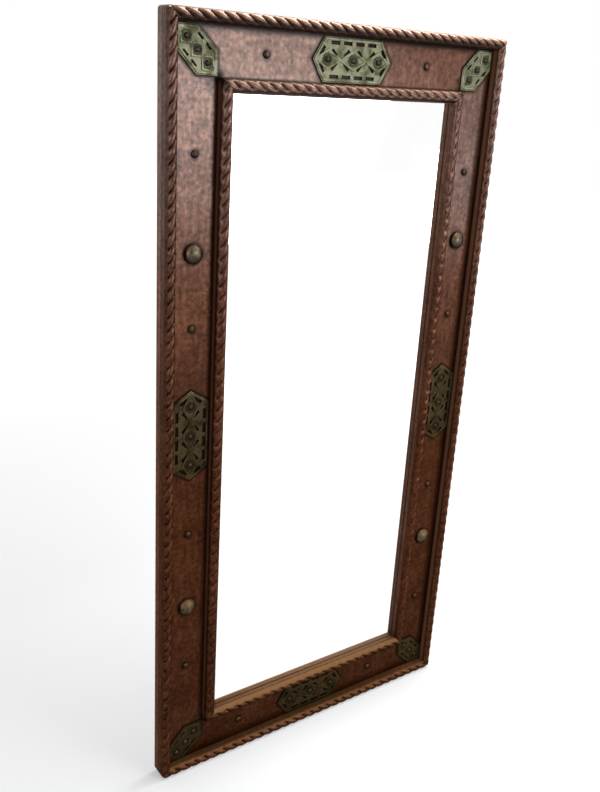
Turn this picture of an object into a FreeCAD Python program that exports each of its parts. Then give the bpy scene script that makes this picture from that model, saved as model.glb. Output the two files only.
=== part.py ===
"""Copper-clad wall mirror: a lapped wooden frame under copper sheet, with two rope-twist mouldings on
each side, pierced brass plaques, dome nails and bosses, a mirror held by fillets and a back panel, and
two hangers.

Axes: +X right and +Z up as seen from the front, +Y into the wall.  The origin is the middle of the back
panel's rear face, so the wall is the plane y = 0.  Millimetres and degrees.
"""
import FreeCAD, Part
import Sketcher
import math
import os
import re

SIZES = {
    # Outside of the frame, and one member from the outer edge to the glass opening
    "overall_width": 600.0,
    "overall_height": 1184.0,
    "member_width": 100.0,
    # Layers, from the wall forwards
    "panel_thick": 6.0,
    "core_thick": 12.0,
    "sheet_thick": 0.8,
    # Rope-twist mouldings, standing on the face sheet
    "outer_rope_width": 16.0,
    "outer_rope_height": 18.0,
    "inner_rope_width": 18.0,
    "inner_rope_height": 17.0,
    "lining_thick": 0.8,
    "rope_pitch": 18.6,
    "rope_angle": 35.0,
    "groove_width": 6.4,
    "groove_depth": 3.6,
    # Mirror, and the rebate that the inner rope's overhang makes for it
    "rebate": 9.0,
    "glass_thick": 4.0,
    "glass_clear": 1.0,
    "fillet_width": 8.0,
    "panel_overlap": 25.0,
    # Plaques in the middle of each side
    "plaque_length": 142.0,
    "plaque_flat": 104.0,
    "plaque_width": 61.0,
    "plaque_thick": 1.5,
    "plaque_nail_step": 46.0,
    "edge_slot_length": 14.0,
    "edge_slot_width": 3.4,
    "edge_slot_step": 22.0,
    "edge_slot_inset": 8.0,
    "cross_slot_length": 11.0,
    "cross_slot_width": 3.2,
    "cross_slot_angle": 48.0,
    "cross_slot_out": 9.0,
    "cross_slot_along": 11.0,
    "tip_slot_length": 12.0,
    "tip_slot_along": 55.0,
    "tip_slot_out": 11.5,
    # Plaques on the corner mitres
    "corner_side": 61.0,
    "corner_cut": 31.0,
    "corner_nail_step": 22.0,
    "corner_slot_length": 9.0,
    "corner_slot_width": 3.0,
    "corner_slot_along": 8.5,
    "corner_slot_out": 15.5,
    "corner_tip_slot": 16.0,
    # Where the plaques, nails and bosses were set by hand, from each side's middle
    "top_plaque_shift": 1.5,
    "bottom_plaque_shift": 8.0,
    "left_plaque_shift": 11.0,
    "right_plaque_shift": -17.0,
    "stile_nail_near": 163.0,
    "stile_nail_far": 403.0,
    "rail_nail_out": 145.0,
    "boss_out": 281.0,
    "left_boss_shift": 0.0,
    "right_boss_shift": -7.0,
    # Nails: domed heads on square shanks
    "small_head_diameter": 11.0,
    "small_head_rise": 3.4,
    "plaque_head_diameter": 8.6,
    "plaque_head_rise": 3.2,
    "boss_diameter": 30.0,
    "boss_rise": 9.5,
    "nail_facets": 8,
    "boss_facets": 12,
    "nail_shank": 2.2,
    "boss_shank": 4.0,
    "shank_depth": 10.0,
    # Headless pins through the back panel
    "pin_side": 2.0,
    "panel_pin_length": 15.0,
    "panel_pin_step": 290.0,
    # Hangers on the backs of the stiles
    "hanger_drop": 240.0,
    "strap_width": 14.0,
    "strap_length": 46.0,
    "strap_thick": 1.2,
    "barrel_wall": 1.15,
    "ring_wire": 2.6,
    "ring_play": 0.05,
    "ring_end_play": 1.0,
    "ring_reach": 22.0,
    "ring_nose": 8.0,
    "ring_lift": 0.3,
    "screw_first": 30.0,
    "screw_step": 10.0,
    "screw_head_diameter": 7.0,
    "screw_head_rise": 1.8,
    "screw_shank": 3.2,
    "screw_length": 11.0,
    "screw_play": 0.2,
    # How far cutters run past the solid that they cut
    "run_out": 2.0,
}

SIDES = ("top", "right", "bottom", "left")
TURN = {"top": 0.0, "right": 90.0, "bottom": 180.0, "left": -90.0}
OUTWARD = {"top": (0, 1), "right": (1, 0), "bottom": (0, -1), "left": (-1, 0)}
LENGTH = {"top": "overall_width", "bottom": "overall_width",
          "left": "overall_height", "right": "overall_height"}

# Distances forward from the wall, as expressions of the sizes
CORE_BACK = "panel_thick"
CORE_FRONT = "(panel_thick + core_thick)"
FIELD = "(panel_thick + core_thick + sheet_thick)"
# Distances inward from the frame's outer edge
CORE_INNER = "(member_width - rebate)"
INNER_ROPE_OUTER = "(member_width - lining_thick - inner_rope_width)"
PANEL_EDGE = "(member_width - rebate - panel_overlap)"
HALF_WIDTH = "(overall_width / 2)"
HALF_HEIGHT = "(overall_height / 2)"

doc = FreeCAD.newDocument("copper_wall_mirror")
sheet = doc.addObject("Spreadsheet::Sheet", "Sizes")
for row, (alias, value) in enumerate(SIZES.items(), 1):
    sheet.set("A%d" % row, alias)
    sheet.set("B%d" % row, str(value))
    sheet.setAlias("B%d" % row, alias)
doc.recompute()

WORDS = re.compile(r"\b(%s)\b" % "|".join(sorted(SIZES, key=len, reverse=True)))
FRONTWARD = FreeCAD.Rotation(FreeCAD.Vector(1, 0, 0), 90)
nodes = []


def size(alias):
    """A size as the sheet holds it."""
    return float(sheet.get(alias))


def tie(thing, path, expression):
    """Binds one property of an object to an expression of the sizes."""
    thing.setExpression(path, WORDS.sub(r"Sizes.\1", expression))


def node(thing, label):
    """Names a finished sub-part."""
    thing.Label = label
    nodes.append(thing)
    return thing


def side_turn(side):
    """A member's own axes: X along it, Y outward from the frame's middle, Z forward from the wall."""
    return FreeCAD.Rotation(FreeCAD.Vector(0, 1, 0), TURN[side]) * FRONTWARD


def origin_of(body, role):
    return next(part for part in body.Origin.OriginFeatures if part.Role == role)


def new_sketch(body, name, plane):
    sketch = body.newObject("Sketcher::SketchObject", name)
    sketch.AttachmentSupport = [(origin_of(body, plane), "")]
    sketch.MapMode = "FlatFace"
    return sketch


def outline(sketch, corners):
    """Draws a closed polygon whose corners are pinned to pairs of expressions."""
    first, count = sketch.GeometryCount, len(corners)
    ring = [FreeCAD.Vector(math.cos(k * 2 * math.pi / count), math.sin(k * 2 * math.pi / count), 0)
            for k in range(count)]
    sketch.addGeometry([Part.LineSegment(ring[k], ring[(k + 1) % count]) for k in range(count)], False)
    rules, ties = [], []
    for k, (across, up) in enumerate(corners):
        rules.append(Sketcher.Constraint("Coincident", first + k, 2, first + (k + 1) % count, 1))
        for kind, place, expression in (("DistanceX", ring[k].x, across), ("DistanceY", ring[k].y, up)):
            ties.append((len(rules), expression))
            rules.append(Sketcher.Constraint(kind, -1, 1, first + k, 1, place))
    start = sketch.ConstraintCount
    sketch.addConstraint(rules)
    for index, expression in ties:
        tie(sketch, "Constraints[%d]" % (start + index), expression)


def box(name, x, y, z):
    """A block between pairs of expressions along each axis."""
    block = doc.addObject("Part::Box", name)
    for (low, high), length, axis in ((x, "Length", "x"), (y, "Width", "y"), (z, "Height", "z")):
        tie(block, length, "(%s) - (%s)" % (high, low))
        tie(block, "Placement.Base." + axis, low)
    return block


def gather(name, things):
    group = doc.addObject("Part::Compound", name)
    group.Links = things
    return group


def cut(name, base, tools):
    """A base less one tool or several."""
    result = doc.addObject("Part::Cut", name)
    result.Base = base
    result.Tool = tools[0] if len(tools) == 1 else gather(name + "_cutters", tools)
    return result


def mitred_bar(label, side, profile, groove=None):
    """A bar along one side of the frame, cut at 45 degrees at both ends.

    profile: corners as (distance inward from the outer edge, distance forward from the wall).
    groove: the crest's (distance inward, distance forward, width) where the bar is cut as a rope.
    """
    body = doc.addObject("PartDesign::Body", label)
    body.Placement.Rotation = side_turn(side)
    out_x, out_z = OUTWARD[side]
    tie(body, "Placement.Base.x", "%d * %s" % (out_x, HALF_WIDTH))
    tie(body, "Placement.Base.z", "%d * %s" % (out_z, HALF_HEIGHT))
    length = LENGTH[side]
    section = new_sketch(body, label + "_section", "YZ_Plane")
    outline(section, [("-(%s)" % inward, forward) for inward, forward in profile])
    blank = body.newObject("PartDesign::Pad", label + "_blank")
    blank.Profile = section
    blank.SideType = "Symmetric"
    tie(blank, "Length", length)
    if groove:
        cut_rope(body, label, length, *groove)
    mitres = new_sketch(body, label + "_mitres", "XY_Plane")
    deep = "member_width"
    for hand in ("", "-"):
        outline(mitres, [("%s(%s / 2 + run_out)" % (hand, length), "run_out"),
                         ("%s(%s / 2 + run_out)" % (hand, length), "-" + deep),
                         ("%s(%s / 2 - %s)" % (hand, length, deep), "-" + deep)])
    ends = body.newObject("PartDesign::Pocket", label + "_ends")
    ends.Profile = mitres
    ends.Type = "ThroughAll"
    ends.SideType = "Symmetric"
    body.Tip = ends
    return body


def cut_rope(body, label, length, inward, crest, width):
    """Cuts V grooves on the slant across a bar's round top, one at each pitch of the twist."""
    vee = new_sketch(body, label + "_vee", "XZ_Plane")
    vee.AttachmentOffset.Rotation = FreeCAD.Rotation(FreeCAD.Vector(0, 1, 0), 90)
    tie(vee, "AttachmentOffset.Rotation.Angle", "90 deg - rope_angle * 1 deg")
    count = "floor(%s / rope_pitch)" % length
    tie(vee, "AttachmentOffset.Base.x", "-(%s - 1) / 2 * rope_pitch" % count)
    tie(vee, "AttachmentOffset.Base.z", inward)
    above = "groove_width / 2 * (groove_depth + run_out) / groove_depth"
    outline(vee, [("0", "%s - groove_depth" % crest),
                  (above, "%s + run_out" % crest), ("-" + above, "%s + run_out" % crest)])
    groove = body.newObject("PartDesign::Pocket", label + "_groove")
    groove.Profile = vee
    groove.SideType = "Symmetric"
    tie(groove, "Length", "(%s + run_out) / sin(rope_angle) * 2" % width)
    twist = body.newObject("PartDesign::LinearPattern", label + "_twist")
    twist.Originals = [groove]
    twist.Direction = (origin_of(body, "X_Axis"), [""])
    twist.Mode = "Spacing"
    tie(twist, "Offset", "rope_pitch")
    tie(twist, "Occurrences", count)
    body.Tip = twist


def rectangle(inner, outer, back, front):
    """A bar's plain section between two distances inward and two distances forward."""
    return [(inner, back), (inner, front), (outer, front), (outer, back)]


def round_top(start, width, rise):
    """A bar's section with a half-round top, drawn as three chords of 60 degrees."""
    top = "(%s + %s)" % (FIELD, rise)
    spring = "%s - %s / 2 * sin(60)" % (top, width)
    return [(start, FIELD), (start, spring), ("%s + %s / 4" % (start, width), top),
            ("%s + %s * 3 / 4" % (start, width), top),
            ("%s + %s" % (start, width), spring), ("%s + %s" % (start, width), FIELD)]


# Nails: a domed head on a square shank, its underside at the origin and its head towards +Z


def top_face(feature):
    """The name of a feature's highest face."""
    heights = [face.CenterOfMass.z for face in feature.Shape.Faces]
    return "Face%d" % (heights.index(max(heights)) + 1)


def dome(name, facets, diameter, rise, rounds):
    """A many-sided disc, its top edge taken off by one chamfer after another."""
    body = doc.addObject("PartDesign::Body", name)
    rim = new_sketch(body, name + "_rim", "XY_Plane")
    count = int(size(facets))
    turns = ["(360 deg * %d / %s)" % (k, facets) for k in range(count)]
    outline(rim, [("%s / 2 * cos(%s)" % (diameter, turn), "%s / 2 * sin(%s)" % (diameter, turn))
                  for turn in turns])
    tip = body.newObject("PartDesign::Pad", name + "_disc")
    tip.Profile = rim
    tie(tip, "Length", rise)
    for k, share in enumerate(rounds):
        doc.recompute()
        slope = body.newObject("PartDesign::Chamfer", "%s_slope_%d" % (name, k))
        slope.Base = (tip, [top_face(tip)])
        tie(slope, "Size", "%s * %s" % (rise, share))
        tip = slope
    body.Tip = tip
    return body


def nail(name, head, shank, below):
    stem = box(name + "_shank", ("-%s / 2" % shank, "%s / 2" % shank),
               ("-%s / 2" % shank, "%s / 2" % shank), ("-(%s)" % below, "0"))
    whole = doc.addObject("Part::Fuse", name)
    whole.Base = head
    whole.Tool = stem
    return whole


ONE_SLOPE, TWO_SLOPES = (0.7,), (0.72, 0.36)
small_nail = nail("small_nail", dome("small_head", "nail_facets", "small_head_diameter",
                                     "small_head_rise", ONE_SLOPE), "nail_shank", "shank_depth")
plaque_nail = nail("plaque_nail", dome("plaque_head", "nail_facets", "plaque_head_diameter",
                                       "plaque_head_rise", ONE_SLOPE),
                   "nail_shank", "shank_depth + plaque_thick")
boss_nail = nail("boss_nail", dome("boss_head", "boss_facets", "boss_diameter", "boss_rise", TWO_SLOPES),
                 "boss_shank", "shank_depth")
doc.recompute()

half_width = size("overall_width") / 2
half_height = size("overall_height") / 2
field_middle = (size("outer_rope_width") + size("member_width")
                - size("lining_thick") - size("inner_rope_width")) / 2
field = size("panel_thick") + size("core_thick") + size("sheet_thick")


def on_side(side, along, forward):
    """A point on a side's middle line: along +X on a rail and +Z on a stile, forward from the wall."""
    out_x, out_z = OUTWARD[side]
    x = out_x * (half_width - field_middle) + (along if out_x == 0 else 0)
    z = out_z * (half_height - field_middle) + (along if out_z == 0 else 0)
    return FreeCAD.Vector(x, -forward, z)


def set_of(label, master, places, turn=FRONTWARD):
    """Copies of one fastener at each place, as separate solids of one node."""
    copies = []
    for place in places:
        piece = master.Shape.copy()
        piece.Placement = FreeCAD.Placement(place, turn)
        copies.append(piece)
    group = doc.addObject("Part::Feature", label)
    group.Shape = Part.makeCompound(copies)
    return node(group, label)


def corner_middle(hand, rise):
    """The crossing of two sides' middle lines, at the plaque's outer face."""
    return FreeCAD.Vector(hand * (half_width - field_middle), -field - size("plaque_thick"),
                          rise * (half_height - field_middle))


small_places, plaque_places, boss_places = [], [], []
for side in SIDES:
    middle = size(side + "_plaque_shift")
    steps = (size("rail_nail_out"),) if OUTWARD[side][0] == 0 else (
        size("stile_nail_near"), size("stile_nail_far"))
    small_places += [on_side(side, middle * (OUTWARD[side][0] != 0) + hand * step, field)
                     for step in steps for hand in (1, -1)]
    plaque_places += [on_side(side, middle + hand * size("plaque_nail_step"), field + size("plaque_thick"))
                      for hand in (1, 0, -1)]
for side in ("left", "right"):
    boss_places += [on_side(side, size(side + "_boss_shift") + hand * size("boss_out"), field)
                    for hand in (1, -1)]
for hand in (1, -1):
    for rise in (1, -1):
        diagonal = FreeCAD.Vector(hand, 0, rise) * (size("corner_nail_step") / math.sqrt(2))
        plaque_places += [corner_middle(hand, rise) + diagonal * k for k in (1, 0, -1)]

small_nails = set_of("small_copper_nails", small_nail, small_places)
plaque_nails = set_of("plaque_nails", plaque_nail, plaque_places)
boss_nails = set_of("brass_bosses", boss_nail, boss_places)

# Headless square pins, driven from behind and flush with the back panel

panel_pin = box("panel_pin", ("-pin_side / 2", "pin_side / 2"), ("-pin_side / 2", "pin_side / 2"),
                ("0", "panel_pin_length"))
doc.recompute()
pin_in = size("member_width") - size("rebate") - size("panel_overlap") / 2
panel_pins = set_of("panel_pins", panel_pin, [
    FreeCAD.Vector(hand * (half_width - pin_in), 0, k * size("panel_pin_step"))
    for hand in (1, -1) for k in (-1.5, -0.5, 0.5, 1.5)] + [
    FreeCAD.Vector(0, 0, rise * (half_height - pin_in)) for rise in (1, -1)])

# Hangers: a strap rolled round the straight bar of a three-sided ring.  Both are made at the barrel's axis,
# with X along it, Y towards the wall and the strap and ring hanging down

AXIS_LIFT = "(strap_thick + ring_lift + ring_wire / 2)"
BORE = "(ring_wire / 2 + ring_play)"


ALONG, DOWN, IN = FreeCAD.Vector(1, 0, 0), FreeCAD.Vector(0, 0, -1), FreeCAD.Vector(0, -1, 0)
FACETS = 8


def lay(bar, length, place, axis):
    """Sets a bar's length, its start as three expressions, and its direction."""
    bar.Placement.Rotation = FreeCAD.Rotation(FreeCAD.Vector(0, 0, 1), axis)
    tie(bar, "Height", length)
    for letter, expression in zip("xyz", place):
        tie(bar, "Placement.Base." + letter, expression)
    return bar


def rod(name, radius, length, place, axis):
    bar = doc.addObject("Part::Cylinder", name)
    tie(bar, "Radius", radius)
    return lay(bar, length, place, axis)


def faceted_rod(name, radius, length, place, axis):
    """A rod of eight flats, each at the radius from its middle line."""
    bar = doc.addObject("Part::Prism", name)
    bar.Polygon = FACETS
    tie(bar, "Circumradius", "(%s) / cos(180 / %d)" % (radius, FACETS))
    lay(bar, length, place, axis)
    bar.Placement.Rotation *= FreeCAD.Rotation(FreeCAD.Vector(0, 0, 1), 180 / FACETS)
    return bar


def ring():
    """Round wire bent to three sides: the bar in the barrel, and two legs that close in on a short nose."""
    body = doc.addObject("PartDesign::Body", "ring")
    corner, nose = "(strap_width / 2 + ring_end_play + ring_wire / 2)", "ring_nose / 2"
    route = new_sketch(body, "ring_route", "XZ_Plane")
    outline(route, [("0", "0"), (corner, "0"), (nose, "-ring_reach"), ("-" + nose, "-ring_reach"),
                    ("-" + corner, "0")])
    wire = new_sketch(body, "ring_section", "YZ_Plane")
    wire.addGeometry(Part.Circle(FreeCAD.Vector(), FreeCAD.Vector(0, 0, 1), size("ring_wire") / 2), False)
    wire.addConstraint([Sketcher.Constraint("Coincident", 0, 3, -1, 1),
                        Sketcher.Constraint("Diameter", 0, size("ring_wire"))])
    tie(wire, "Constraints[1]", "ring_wire")
    bent = body.newObject("PartDesign::AdditivePipe", "ring_bent")
    bent.Profile = wire
    bent.Spine = (route, [])
    bent.Transition = "Right corner"
    return body


def strap():
    """A flat strap with a barrel rolled at its top end and two screw holes."""
    near, far = "%s - strap_thick" % AXIS_LIFT, AXIS_LIFT
    plate = box("strap_plate", ("-strap_width / 2", "strap_width / 2"), ("-(%s)" % far, "-(%s)" % near),
                ("-strap_length", "0"))
    roll = faceted_rod("strap_roll", "%s + barrel_wall" % BORE, "strap_width",
                       ("-strap_width / 2", "0", "0"), ALONG)
    blank = doc.addObject("Part::Fuse", "strap_blank")
    blank.Base = plate
    blank.Tool = roll
    bore = rod("strap_bore", BORE, "strap_width + 2 * run_out",
               ("-(strap_width / 2 + run_out)", "0", "0"), ALONG)
    holes = [rod("strap_hole_%d" % k, "screw_shank / 2 + screw_play", "strap_thick + 2 * run_out",
                 ("0", "run_out - (%s)" % near, "-(screw_first + %d * screw_step)" % k), IN) for k in (0, 1)]
    return cut("strap", blank, [bore] + holes)


screw = doc.addObject("Part::Fuse", "screw")
screw.Base = dome("screw_head", "nail_facets", "screw_head_diameter", "screw_head_rise", ONE_SLOPE)
screw.Tool = faceted_rod("screw_stem", "screw_shank / 2", "screw_length", ("0", "0", "0"), DOWN)
ring_master, strap_master = ring(), strap()
doc.recompute()

axis_lift = size("strap_thick") + size("ring_lift") + size("ring_wire") / 2
hanger_in = size("member_width") - size("rebate") - size("panel_overlap")
BACKWARD = FreeCAD.Rotation(FreeCAD.Vector(1, 0, 0), -90)


def hanger_axis(hand):
    """The middle of a hanger's barrel, on the strip of stile beside the back panel."""
    return FreeCAD.Vector(hand * (half_width - hanger_in / 2), axis_lift - size("panel_thick"),
                          half_height - size("hanger_drop"))


for hand, name in ((-1, "left"), (1, "right")):
    set_of("%s_hanger_strap" % name, strap_master, [hanger_axis(hand)], FreeCAD.Rotation())
    set_of("%s_hanger_ring" % name, ring_master, [hanger_axis(hand)], FreeCAD.Rotation())
hanger_screws = set_of("hanger_screws", screw, [
    hanger_axis(hand) + FreeCAD.Vector(0, size("strap_thick") - axis_lift,
                                       -size("screw_first") - k * size("screw_step"))
    for hand in (-1, 1) for k in (0, 1)], BACKWARD)

# Wooden core: the stiles run full height and keep their back half at the corners, the rails run full
# width over them and keep their front half

LAP = "(panel_thick + core_thick / 2)"
OUT = "(%s - sheet_thick)"
DEEP = ("-" + CORE_FRONT, "-" + CORE_BACK)
SOCKETS = [small_nails, plaque_nails, boss_nails, panel_pins, hanger_screws]


def core(side):
    out_x, out_z = OUTWARD[side]
    half, span, hand = ((HALF_WIDTH, HALF_HEIGHT, out_x) if out_x else (HALF_HEIGHT, HALF_WIDTH, out_z))
    across = (OUT % half, "(%s - %s)" % (half, CORE_INNER))
    across = (across[1], across[0]) if hand > 0 else ("-" + across[0], "-" + across[1])
    full = ("-" + OUT % span, OUT % span)
    x, z = (across, full) if out_x else (full, across)
    board = box(side + "_board", x, DEEP, z)
    laps = []
    for end in ("", "-"):
        away = ("%s(%s - %s)" % (end, span, CORE_INNER), "%s(%s + run_out)" % (end, span))
        away = away if end == "" else (away[1], away[0])
        lap_depth = (DEEP[0], "-" + LAP) if out_x else ("-" + LAP, DEEP[1])
        spot = (across, away) if out_x else (away, across)
        laps.append(box("%s_lap_%s" % (side, "high" if end == "" else "low"), spot[0], lap_depth, spot[1]))
    label = "%s_%s_core" % (side, "stile" if out_x else "rail")
    return node(cut(label, board, laps + SOCKETS), label)


for side in SIDES:
    core(side)

# Copper: a face sheet over each board, a band round its edge, the two ropes and the reveal's lining

for side in SIDES:
    face = mitred_bar(side + "_face_blank", side, rectangle("0", CORE_INNER, CORE_FRONT, FIELD))
    label = side + "_face_sheet"
    node(cut(label, face, [small_nails, plaque_nails, boss_nails]), label)
    label = side + "_edge_band"
    node(mitred_bar(label, side, rectangle("0", "sheet_thick", CORE_BACK, CORE_FRONT)), label)
    label = side + "_outer_rope"
    node(mitred_bar(label, side, round_top("0", "outer_rope_width", "outer_rope_height"),
                    ("outer_rope_width / 2", "(%s + outer_rope_height)" % FIELD, "outer_rope_width")), label)
    label = side + "_inner_rope"
    node(mitred_bar(label, side, round_top(INNER_ROPE_OUTER, "inner_rope_width", "inner_rope_height"),
                    ("%s + inner_rope_width / 2" % INNER_ROPE_OUTER,
                     "(%s + inner_rope_height)" % FIELD, "inner_rope_width")), label)
    label = side + "_reveal_lining"
    node(mitred_bar(label, side, rectangle(
        "(member_width - lining_thick)", "member_width", FIELD,
        "%s + inner_rope_height - inner_rope_width / 2" % FIELD)), label)

# Mirror, the fillets behind it and the back panel

SIGHT = "(%s - member_width + rebate)"
OPEN_X, OPEN_Z = SIGHT % HALF_WIDTH, SIGHT % HALF_HEIGHT
GLASS_BACK = "(%s - glass_thick)" % FIELD


def spread(half, less):
    return ("-(%s - %s)" % (half, less), "%s - %s" % (half, less))


node(box("mirror_glass", spread(OPEN_X, "glass_clear"), ("-" + FIELD, "-" + GLASS_BACK),
         spread(OPEN_Z, "glass_clear")), "mirror_glass")
fillet_depth = ("-" + GLASS_BACK, "-" + CORE_BACK)
for hand, name in ((-1, "left"), (1, "right")):
    x = ("%s - fillet_width" % OPEN_X, OPEN_X) if hand > 0 else ("-" + OPEN_X, "-%s + fillet_width" % OPEN_X)
    label = name + "_glass_fillet"
    node(box(label, x, fillet_depth, spread(OPEN_Z, "0")), label)
for hand, name in ((-1, "bottom"), (1, "top")):
    z = ("%s - fillet_width" % OPEN_Z, OPEN_Z) if hand > 0 else ("-" + OPEN_Z, "-%s + fillet_width" % OPEN_Z)
    label = name + "_glass_fillet"
    node(box(label, spread(OPEN_X, "fillet_width"), fillet_depth, z), label)
panel = box("panel_board", spread(HALF_WIDTH, PANEL_EDGE), ("-panel_thick", "0"),
            spread(HALF_HEIGHT, PANEL_EDGE))
node(cut("back_panel", panel, [panel_pins]), "back_panel")

# Pierced brass plaques


def slanted(x, y, length, width, angle):
    """The corners of a slot turned by an angle about its middle."""
    corners = []
    for along, across in ((1, 1), (-1, 1), (-1, -1), (1, -1)):
        run, side = "%d * %s / 2" % (along, length), "%d * %s / 2" % (across, width)
        corners.append(("%s + %s * cos(%s) - %s * sin(%s)" % (x, run, angle, side, angle),
                        "%s + %s * sin(%s) + %s * cos(%s)" % (y, run, angle, side, angle)))
    return corners


def plate(label, corners, slots, turn, place):
    """A flat plate with slots pierced through it, lying on the face sheet."""
    body = doc.addObject("PartDesign::Body", label + "_plate")
    body.Placement = FreeCAD.Placement(place, turn)
    shape = new_sketch(body, label + "_outline", "XY_Plane")
    outline(shape, corners)
    for slot in slots:
        outline(shape, slot)
    pad = body.newObject("PartDesign::Pad", label + "_pad")
    pad.Profile = shape
    tie(pad, "Length", "plaque_thick")
    return node(cut(label, body, [plaque_nails]), label)


def side_plaque(side):
    """A long hexagon: slots along its rim, and bars crossing between its three nails."""
    tip, flat, half = "plaque_length / 2", "plaque_flat / 2", "plaque_width / 2"
    corners = [(tip, "0"), (flat, half), ("-" + flat, half), ("-" + tip, "0"),
               ("-" + flat, "-" + half), (flat, "-" + half)]
    point = "atan2(%s; (%s) - (%s))" % (half, tip, flat)
    slots = []
    for up in (1, -1):
        for k in (-1.5, -0.5, 0.5, 1.5):
            slots.append(slanted("%s * edge_slot_step" % k, "%d * (%s - edge_slot_inset)" % (up, half),
                                 "edge_slot_length", "edge_slot_width", "0"))
        for hand in (1, -1):
            slots.append(slanted("%d * tip_slot_along" % hand, "%d * tip_slot_out" % up, "tip_slot_length",
                                 "edge_slot_width", "%d * (180 deg - %s)" % (hand * up, point)))
            for gap in (1, -1):
                slots.append(slanted(
                    "%d * plaque_nail_step / 2 + %d * cross_slot_along" % (gap, hand),
                    "%d * cross_slot_out" % up, "cross_slot_length", "cross_slot_width",
                    "%d * cross_slot_angle" % (hand * up)))
    place = on_side(side, size(side + "_plaque_shift"), field)
    return plate(side + "_plaque", corners, slots, side_turn(side), place)


def corner_plaque(rise, hand, name):
    """A square with two corners cut away, its square tips on the mitre, pierced round its three nails."""
    half, short = "corner_side / 2", "(corner_side / 2 - corner_cut)"
    corners = [(half, half), (short, half), ("-" + half, "-" + short), ("-" + half, "-" + half),
               ("-" + short, "-" + half), (half, short)]
    edge, back = "(%s - edge_slot_inset)" % half, "(%s - corner_tip_slot)" % half
    slots = []
    for end in (1, -1):
        for k in (1, -1):
            along, out = "%d * corner_slot_along / sqrt(2)" % k, "%d * corner_slot_out / sqrt(2)" % end
            slots.append(slanted("%s + %s" % (along, out), "%s - %s" % (along, out),
                                 "corner_slot_length", "corner_slot_width", "45"))
        for x, y, angle in ((back, edge, "0"), (edge, back, "90")):
            slots.append(slanted("%d * %s" % (end, x), "%d * %s" % (end, y),
                                 "corner_slot_length", "corner_slot_width", angle))
    place = corner_middle(hand, rise) + FreeCAD.Vector(0, size("plaque_thick"), 0)
    turn = side_turn("top") if hand == rise else side_turn("right")
    return plate(name + "_corner_plaque", corners, slots, turn, place)


for side in SIDES:
    side_plaque(side)
for rise, high in ((1, "top"), (-1, "bottom")):
    for hand, wide in ((-1, "left"), (1, "right")):
        corner_plaque(rise, hand, "%s_%s" % (high, wide))

doc.recompute()
for thing in doc.Objects:
    if {"Invalid", "Error"} & set(thing.State):
        raise RuntimeError("%s did not build: %s" % (thing.Label, thing.State))
os.makedirs("parts", exist_ok=True)
for thing in nodes:
    shape = thing.Shape
    if shape.isNull() or not shape.isValid() or not shape.Solids:
        raise RuntimeError("%s has no valid solid" % thing.Label)
    shape.exportStep("parts/%s.step" % thing.Label)
    print("%-28s solids %2d  volume %10.1f" % (thing.Label, len(shape.Solids), shape.Volume))
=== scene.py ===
"""Looks of the copper wall mirror, in the order in which the real one is put together.

Metres.  +X is right and +Z up as seen from the front, and +Y goes into the wall, the plane y = 0.
"""

import bmesh
import bpy
import math
from mathutils import Matrix, Quaternion, Vector, noise
from mathutils.bvhtree import BVHTree


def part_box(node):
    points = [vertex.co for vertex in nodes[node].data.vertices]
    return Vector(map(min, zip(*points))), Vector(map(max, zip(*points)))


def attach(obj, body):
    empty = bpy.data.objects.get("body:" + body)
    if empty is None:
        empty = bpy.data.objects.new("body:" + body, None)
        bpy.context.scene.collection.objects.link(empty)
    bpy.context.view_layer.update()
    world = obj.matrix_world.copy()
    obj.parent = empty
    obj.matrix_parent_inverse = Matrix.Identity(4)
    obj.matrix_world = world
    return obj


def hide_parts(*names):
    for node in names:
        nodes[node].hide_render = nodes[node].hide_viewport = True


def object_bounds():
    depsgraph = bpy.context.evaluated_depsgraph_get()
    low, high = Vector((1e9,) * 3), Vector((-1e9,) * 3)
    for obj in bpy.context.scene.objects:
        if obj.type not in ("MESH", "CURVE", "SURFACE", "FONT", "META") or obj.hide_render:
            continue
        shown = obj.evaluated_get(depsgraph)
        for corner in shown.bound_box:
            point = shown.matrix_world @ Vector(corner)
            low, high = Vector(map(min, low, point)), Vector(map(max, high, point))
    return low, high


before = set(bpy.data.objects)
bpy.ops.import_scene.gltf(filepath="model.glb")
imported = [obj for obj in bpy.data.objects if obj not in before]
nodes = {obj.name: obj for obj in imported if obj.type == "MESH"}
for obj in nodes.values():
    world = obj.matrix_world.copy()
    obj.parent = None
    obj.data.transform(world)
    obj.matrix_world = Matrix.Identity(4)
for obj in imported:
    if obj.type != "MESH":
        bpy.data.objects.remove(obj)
cad_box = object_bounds()

# Wooden core: two rails half-lapped over two stiles, in sawn softwood.
# It shows only from behind, as the strip round the back panel.

SIDES, UPRIGHTS = ("top", "right", "bottom", "left"), ("left", "right")
PALE_WOOD, DARK_WOOD = (0.33, 0.19, 0.09), (0.15, 0.075, 0.035)
UPRIGHT_GRAIN, LEVEL_GRAIN, GRAIN_DEPTH = (42.0, 42.0, 2.2), (2.2, 42.0, 42.0), 0.0006
SHARP, MERGE, CUT_SLACK = math.radians(45), 1e-6, 1e-7
TOP_ROUND, FOOT_ROUND, CORNER_CUTS = 0.005, 0.011, 6
half_width, half_height = (cad_box[1].x - cad_box[0].x) / 2, (cad_box[1].z - cad_box[0].z) / 2


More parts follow.
